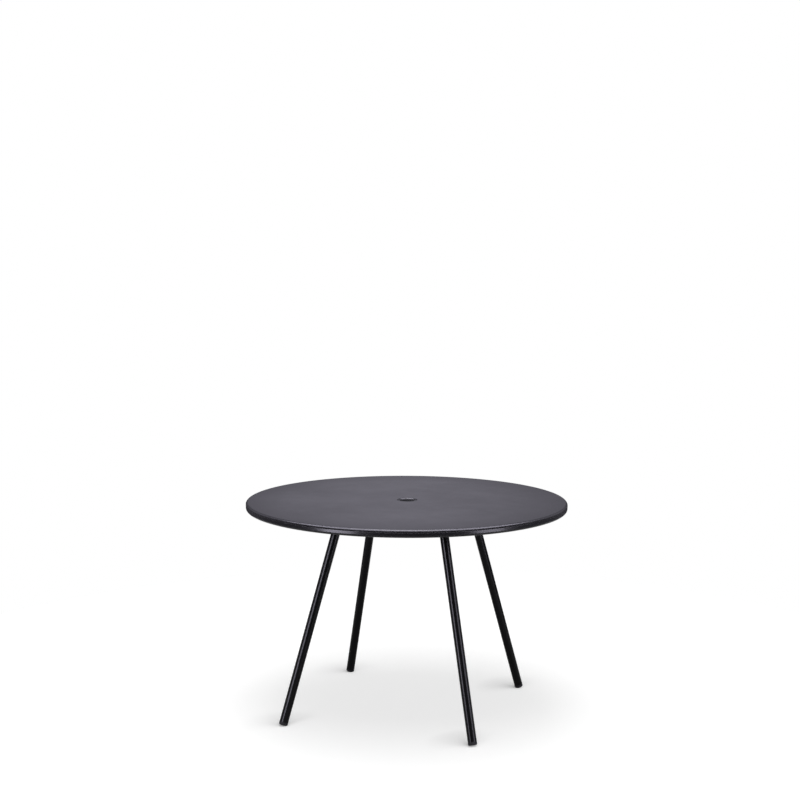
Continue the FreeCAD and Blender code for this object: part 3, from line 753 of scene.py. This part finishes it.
class TABLE_OT_build_studio(TableOperator, bpy.types.Operator):
    """Build the pale floor, the soft light and the camera"""

    bl_idname = "table.build_studio"
    bl_label = "Build the studio"

    def seen(self, tree):
        """1 where the background itself is seen, straight on, in a reflection or through glass."""
        straight, mirrored, through = (
            tree.node("ShaderNodeLightPath", output=name)
            for name in ("Is Camera Ray", "Is Glossy Ray", "Is Transmission Ray"))
        return straight.larger(mirrored.larger(through))

    def add_floor(self, colours, turn):
        """Add a round floor that is white in the open, keeps the table's soft shadow and has
        painted shadows beside the feet.
        """
        mesh = bmesh.new()
        bmesh.ops.create_circle(mesh, cap_ends=True, segments=96, radius=2.2)
        data = bpy.data.meshes.new("floor")
        mesh.to_mesh(data)
        mesh.free()
        made = bpy.data.materials.new("floor_finish")
        tree = ShaderTree(made)
        diffuse = tree.node("ShaderNodeBsdfDiffuse", inputs={"Color": (*colours.floor, 1.0)})
        # A glow whitens the floor, and is weaker in reflections.
        mirrored = tree.node("ShaderNodeLightPath", output="Is Glossy Ray")
        glow = tree.node("ShaderNodeEmission", inputs={"Strength": 1.74 - mirrored * 1.3})
        # A painted shadow: the glow dims on the far left of each foot, where an occlusion test
        # towards a low direction from the front right finds the foot. No lamp casts it; lamp below
        # is only that direction.
        lamp = turn @ Vector((0.5, -0.85, 0.12)).normalized()
        towards = tree.node("ShaderNodeCombineXYZ", inputs={0: lamp.x, 1: lamp.y, 2: lamp.z})
        clear_of_painted_shadow = tree.node("ShaderNodeAmbientOcclusion", {"samples": 12},
                             {"Distance": 0.14, "Normal": towards}, output=1)
        # The glow's share of the floor in the open, and how fast it falls in these painted shadows.
        glow_share, fall = 0.38, 2.5
        share = self.seen(tree) * clear_of_painted_shadow ** fall * glow_share
        mixed = tree.node("ShaderNodeMixShader", inputs={0: share, 1: diffuse, 2: glow})
        tree.node("ShaderNodeOutputMaterial", inputs={"Surface": mixed})
        data.materials.append(made)
        floor = bpy.data.objects.new("floor", data)
        bpy.context.scene.collection.objects.link(floor)

    def add_world(self, studio, colours, turn):
        """Add a pale room, brightest behind the table and beside it, dark low down and in front."""
        world = bpy.data.worlds.new("studio")
        tree = ShaderTree(world)
        seen = self.seen(tree)
        front = turn @ Vector((0.0, -1.0, 0.0))
        right = turn @ Vector((1.0, 0.0, 0.0))
        towards = tree.node("ShaderNodeTexCoord", output="Generated")
        up = tree.node("ShaderNodeSeparateXYZ", inputs={0: towards}, output=2)
        # The brightest strip behind the table lies a little to the left of its middle.
        beside = abs(tree.along(towards, right) + 0.01)
        dark = tree.follow(tree.along(towards, front), start=0.62, end=0.86, at_start=0.0,
                           at_end=0.92, change="SMOOTHSTEP")
        pale = tree.follow(up, start=0.0, end=0.45, at_start=0.14, at_end=0.74)
        middle = tree.follow(beside, start=0.0, end=0.25, at_start=1.0, at_end=0.4)
        sides = tree.follow(beside, start=0.35, end=0.7, at_start=0.0, at_end=0.95)
        mirrored = tree.node("ShaderNodeLightPath", output="Is Glossy Ray")
        light = tree.node("ShaderNodeBackground",
                          inputs={"Color": (1, 1, 1, 1), "Strength": studio.sky})
        hue = tree.between(mirrored, (1.0, 1.0, 1.0), colours.room)
        strength = 1 - mirrored * (1 - pale * (middle + sides) * (1 - dark))
        white = tree.node("ShaderNodeBackground", inputs={"Color": hue, "Strength": strength})
        mixed = tree.node("ShaderNodeMixShader", inputs={0: seen, 1: light, 2: white})
        tree.node("ShaderNodeOutputWorld", inputs={"Surface": mixed})
        bpy.context.scene.world = world

    def add_lamp(self, name, place, rotation, **values):
        """Add a rectangular lamp, which shines down before it is turned."""
        lamp = bpy.data.lights.new(name, "AREA")
        lamp.shape = "RECTANGLE"
        for key, value in values.items():
            setattr(lamp, key, value)
        made = bpy.data.objects.new(name, lamp)
        made.location = place
        made.rotation_euler = rotation
        made.visible_camera = False
        bpy.context.scene.collection.objects.link(made)
        return made

    def add_lamps(self, studio, colours, turn):
        """Add the light from above, and three lights that only reflections show."""
        level = turn.to_euler()
        self.add_lamp("overhead", turn @ Vector((-0.12, -0.75, 5.2)), level,
                      energy=studio.overhead, size=2.2, size_y=4.6)
        gleam = self.add_lamp("gleam", turn @ Vector((0.0, -1.25, 3.1)), level,
                              energy=studio.gleam, size=7.0, size_y=3.9, color=colours.room)
        gleam.visible_diffuse = False
        # The two upright lights shine past the tabletop's sheet, on which they would leave
        # white patches.
        upright = bpy.data.collections.new("upright_pieces")
        for piece in bpy.context.scene.objects:
            if piece.type == "MESH" and piece.name != "tabletop_sheet":
                upright.objects.link(piece)
        boxes = (("left_box", -45.0, studio.left_box), ("right_box", 54.0, studio.right_box))
        away, height, aim = 3.0, 0.95, Vector((0, 0, 0.55))
        for name, side, watts in boxes:
            angle = math.radians(side)
            place = turn @ Vector((away * math.sin(angle), -away * math.cos(angle), height))
            towards = (aim - place).to_track_quat("-Z", "Y").to_euler()
            box = self.add_lamp(name, place, towards, energy=watts, size=1.1, size_y=1.9,
                                color=colours.room)
            box.visible_diffuse = False
            box.light_linking.receiver_collection = upright

    def add_camera(self, studio, turn):
        """Add the camera where the photograph's perspective puts it."""
        camera = bpy.data.cameras.new("camera")
        camera.sensor_width = SENSOR
        camera.lens = studio.focal * SENSOR / FRAME
        # The photograph's middle of perspective lies 40 pixels right of its frame's middle and
        # 130 pixels below it.
        camera.shift_x = -40 / FRAME
        camera.shift_y = 130 / FRAME
        made = bpy.data.objects.new("camera", camera)
        yaw, pitch, roll = 0.02452, 0.19134, 0.00848
        away, height = 4.641, 1.5334
        ahead = Vector((
            math.sin(yaw) * math.cos(pitch), math.cos(yaw) * math.cos(pitch), -math.sin(pitch)))
        right = Vector((math.cos(yaw), -math.sin(yaw), 0))
        up = right.cross(ahead)
        tilted_right = right * math.cos(roll) + up * math.sin(roll)
        tilted_up = up * math.cos(roll) - right * math.sin(roll)
        axes = Matrix((tilted_right, tilted_up, -ahead)).transposed().to_4x4()
        made.matrix_world = turn @ Matrix.Translation((0, -away, height)) @ axes
        bpy.context.scene.collection.objects.link(made)
        bpy.context.scene.camera = made

    def execute(self, context):
        _, colours = self.settings(context)
        studio = context.scene.table_studio
        # The camera looks at the table from a little to the right of its front.
        turn = Matrix.Rotation(math.radians(17.585), 4, "Z")
        self.add_floor(colours, turn)
        self.add_world(studio, colours, turn)
        self.add_lamps(studio, colours, turn)
        self.add_camera(studio, turn)
        context.scene.view_settings.view_transform = "Standard"
        return {"FINISHED"}


OPERATORS = (
    TABLE_OT_coat_solids,
    TABLE_OT_add_top,
    TABLE_OT_add_collar,
    TABLE_OT_add_welds,
    TABLE_OT_add_screws,
    TABLE_OT_add_stems,
    TABLE_OT_build_studio,
)


class TABLE_PT_panel(bpy.types.Panel):
    """The table's panel in the sidebar"""

    bl_label = "Parasol Table"
    bl_idname = "TABLE_PT_panel"
    bl_space_type = "VIEW_3D"
    bl_region_type = "UI"
    bl_category = "Parasol Table"

    def draw(self, context):
        for operator in OPERATORS:
            self.layout.operator(operator.bl_idname)


GROUPS = {"table_sizes": TableSizes, "table_colours": TableColours, "table_studio": StudioSettings}


def register():
    for name, group in GROUPS.items():
        bpy.utils.register_class(group)
        setattr(bpy.types.Scene, name, PointerProperty(type=group))
    for item in (*OPERATORS, TABLE_PT_panel):
        bpy.utils.register_class(item)


def unregister():
    for item in reversed((*OPERATORS, TABLE_PT_panel)):
        bpy.utils.unregister_class(item)
    for name, group in GROUPS.items():
        delattr(bpy.types.Scene, name)
        bpy.utils.unregister_class(group)


def main():
    register()
    for operator in OPERATORS:
        group, name = operator.bl_idname.split(".")
        getattr(getattr(bpy.ops, group), name)()


if __name__ == "__main__":
    main()
